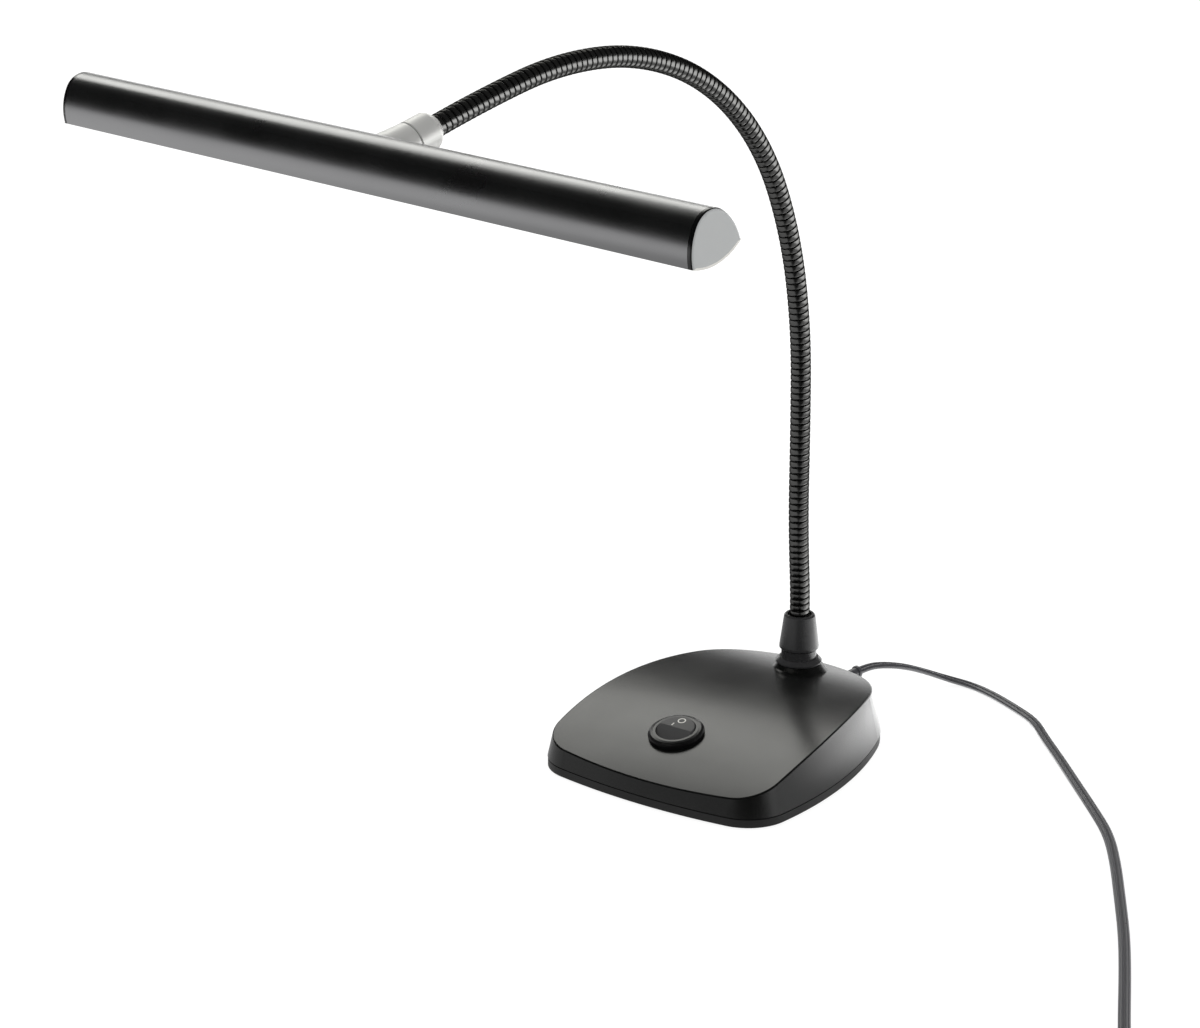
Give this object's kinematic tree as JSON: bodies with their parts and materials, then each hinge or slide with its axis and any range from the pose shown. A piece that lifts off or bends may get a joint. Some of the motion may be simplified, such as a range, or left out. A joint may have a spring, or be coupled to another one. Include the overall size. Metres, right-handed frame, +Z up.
{
  "type": "piano lamp",
  "caption": "Free-standing lamp for a piano: weighted base with a round rocker switch, a wound gooseneck and a bar-shaped head that swivels on its end, with cord and plug-in supply.",
  "frame": {"origin": "foot of the neck's axis on the table, on the base pad's underside", "axes": "+Z up along the foot of the neck, +Y to the back of the base, +X to the right of the base; the head reaches out to the front, turned 7.9 degrees to the left"},
  "size_m": [0.505, 0.3688, 0.3001],
  "materials": {
    "base_paint": "satin black moulded shell",
    "black_plastic": "matt black tray",
    "foam_pad": "non-slip pad",
    "steel": "plain steel",
    "black_metal": "gloss black",
    "neck_metal": "bright wound metal",
    "lead_sleeve": "wire insulation",
    "head_paint": "satin dark finish",
    "cap_plastic": "grey end cap",
    "opal": "opal diffuser",
    "board": "white-coated metal board",
    "led": "light source",
    "white_plastic": "moulded",
    "switch_plastic": "gloss black",
    "brass": "contact metal",
    "cord_plastic": "flexible black sheath",
    "tie": "strap",
    "adapter_plastic": "moulded case",
    "prong_metal": "plated pins"
  },
  "bodies": {
    "base": {"base_shell": "base_paint", "base_plate": "black_plastic", "base_pad": "foam_pad", "base_screws": "steel", "ballast_plate": "steel", "neck_socket": "black_metal", "socket_collar": "black_metal", "socket_washer": "steel", "socket_nut": "steel", "gooseneck_root": "neck_metal", "switch_bezel": "switch_plastic", "switch_blades": "brass", "contact_bridge": "brass", "switch_leads": "lead_sleeve", "return_lead": "lead_sleeve", "cord_relief": "cord_plastic", "cord": "cord_plastic", "cord_coil": "cord_plastic", "cord_tie": "tie", "cord_tail": "cord_plastic", "adapter_case": "adapter_plastic", "adapter_prongs": "prong_metal", "adapter_relief": "cord_plastic", "neck_lead_root": "lead_sleeve"},
    "rocker": {"switch_rocker": "switch_plastic", "rocker_plunger": "steel"},
    "neck_1": {"gooseneck_link_1": "neck_metal", "neck_lead_1": "lead_sleeve"},
    "neck_2": {"gooseneck_link_2": "neck_metal", "neck_lead_2": "lead_sleeve"},
    "neck_3": {"gooseneck_link_3": "neck_metal", "neck_lead_3": "lead_sleeve"},
    "neck_4": {"gooseneck_link_4": "neck_metal", "neck_lead_4": "lead_sleeve"},
    "neck_5": {"gooseneck_link_5": "neck_metal", "neck_lead_5": "lead_sleeve"},
    "neck_6": {"gooseneck_link_6": "neck_metal", "neck_lead_6": "lead_sleeve"},
    "neck_7": {"gooseneck_link_7": "neck_metal", "neck_lead_7": "lead_sleeve"},
    "neck_8": {"gooseneck_link_8": "neck_metal", "neck_lead_8": "lead_sleeve"},
    "neck_9": {"gooseneck_link_9": "neck_metal", "neck_lead_9": "lead_sleeve", "hub_ferrule": "head_paint", "swivel_washer": "steel"},
    "head": {"swivel_spindle": "steel", "hub_stub": "head_paint", "stub_screws": "steel", "head_shell": "head_paint", "end_cap_left": "cap_plastic", "end_cap_right": "cap_plastic", "light_cover": "opal", "led_board": "board", "leds": "led", "board_screws": "steel", "terminal_block": "white_plastic", "head_leads": "lead_sleeve"}
  },
  "joints": [
    {"name": "neck_bend_1", "type": "hinge", "parent": "base", "child": "neck_1", "pos_m": [-0.0001, -0.00071, 0.06498], "axis": [0.9905, -0.1374, 0], "range_deg": [-22, 12]},
    {"name": "neck_bend_2", "type": "hinge", "parent": "neck_1", "child": "neck_2", "pos_m": [-0.0003, -0.00219, 0.10684], "axis": [-0.1374, -0.9905, 0.0035], "range_deg": [-15, 15]},
    {"name": "neck_bend_3", "type": "hinge", "parent": "neck_2", "child": "neck_3", "pos_m": [-0.00035, -0.00252, 0.14874], "axis": [0.9905, -0.1374, 0], "range_deg": [-22, 12]},
    {"name": "neck_bend_4", "type": "hinge", "parent": "neck_3", "child": "neck_4", "pos_m": [-0.00094, -0.00678, 0.19037], "axis": [-0.1351, -0.9733, -0.1857], "range_deg": [-15, 15]},
    {"name": "neck_bend_5", "type": "hinge", "parent": "neck_4", "child": "neck_5", "pos_m": [-0.00266, -0.01919, 0.23025], "axis": [0.9905, -0.1374, 0], "range_deg": [-22, 12]},
    {"name": "neck_bend_6", "type": "hinge", "parent": "neck_5", "child": "neck_6", "pos_m": [-0.00596, -0.04297, 0.26428], "axis": [-0.0951, -0.6856, -0.7218], "range_deg": [-15, 15]},
    {"name": "neck_bend_7", "type": "hinge", "parent": "neck_6", "child": "neck_7", "pos_m": [-0.01077, -0.07764, 0.28684], "axis": [0.9905, -0.1374, 0], "range_deg": [-22, 12]},
    {"name": "neck_bend_8", "type": "hinge", "parent": "neck_7", "child": "neck_8", "pos_m": [-0.01638, -0.11801, 0.29572], "axis": [-0.0067, -0.0484, -0.9988], "range_deg": [-15, 15]},
    {"name": "neck_bend_9", "type": "hinge", "parent": "neck_8", "child": "neck_9", "pos_m": [-0.0221, -0.15926, 0.29237], "axis": [0.9905, -0.1374, 0], "range_deg": [-22, 12]},
    {"name": "head_swivel", "type": "hinge", "parent": "neck_9", "child": "head", "pos_m": [-0.02789, -0.20098, 0.28195], "axis": [-0.1323, -0.9531, -0.2723], "range_deg": [-90, 90]},
    {"name": "rocker_tilt", "type": "hinge", "parent": "base", "child": "rocker", "pos_m": [-0.003, -0.08479, 0.01815], "axis": [1, 0, 0], "range_deg": [-24, 0]}
  ]
}
